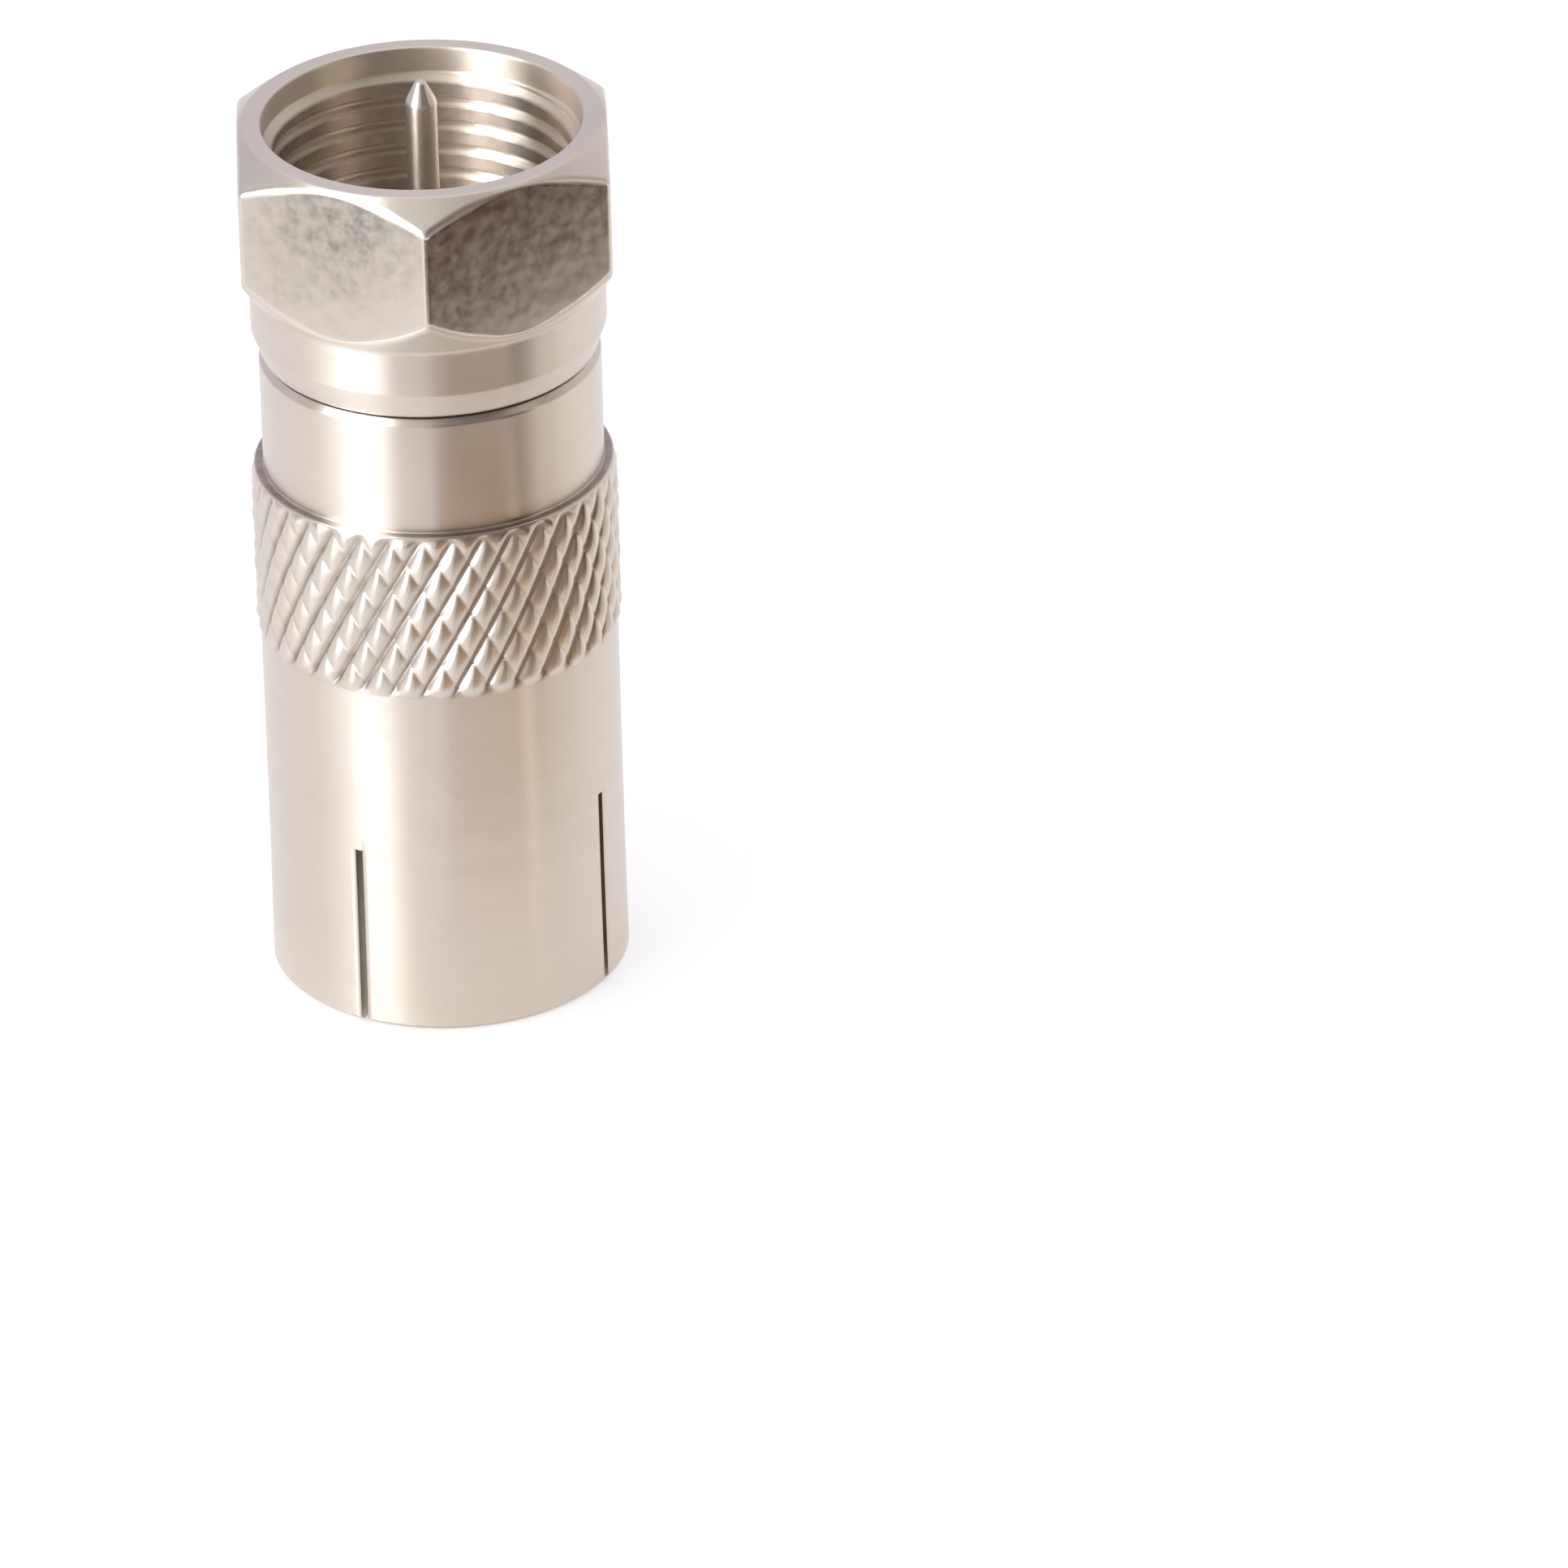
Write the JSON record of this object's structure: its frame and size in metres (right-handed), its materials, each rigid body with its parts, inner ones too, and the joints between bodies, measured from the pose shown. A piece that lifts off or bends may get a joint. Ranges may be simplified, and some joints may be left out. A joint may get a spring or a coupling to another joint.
{
  "type": "f connector",
  "caption": "Coaxial adapter: threaded plug with a loose hexagon nut and centre pin at one end, slotted push-on socket at the other, diamond-knurled grip between.",
  "frame": {"origin": "centre of the slotted end's face, where the part stands", "axes": "+Z along the common axis from the slotted socket to the threaded plug; the slots lie on X and Y, and two flats of the nut face -Y and +Y"},
  "size_m": [0.0128, 0.0112, 0.0295],
  "materials": {
    "nickel_plate": "bright nickel plating on turned brass",
    "contact_plate": "bright nickel plating, smooth",
    "white_insulator": "moulded, matt"
  },
  "bodies": {
    "shell": {"body": "nickel_plate", "ground_ferrule": "nickel_plate", "socket_contact": "contact_plate", "f_pin": "contact_plate", "coax_insulator": "white_insulator", "f_insulator": "white_insulator"},
    "nut": {"coupling_nut": "nickel_plate"}
  },
  "joints": [
    {"name": "nut_spin", "type": "hinge", "parent": "shell", "child": "nut", "pos_m": [0, 0, 0.02155], "axis": [0, 0, 1], "continuous": true}
  ]
}
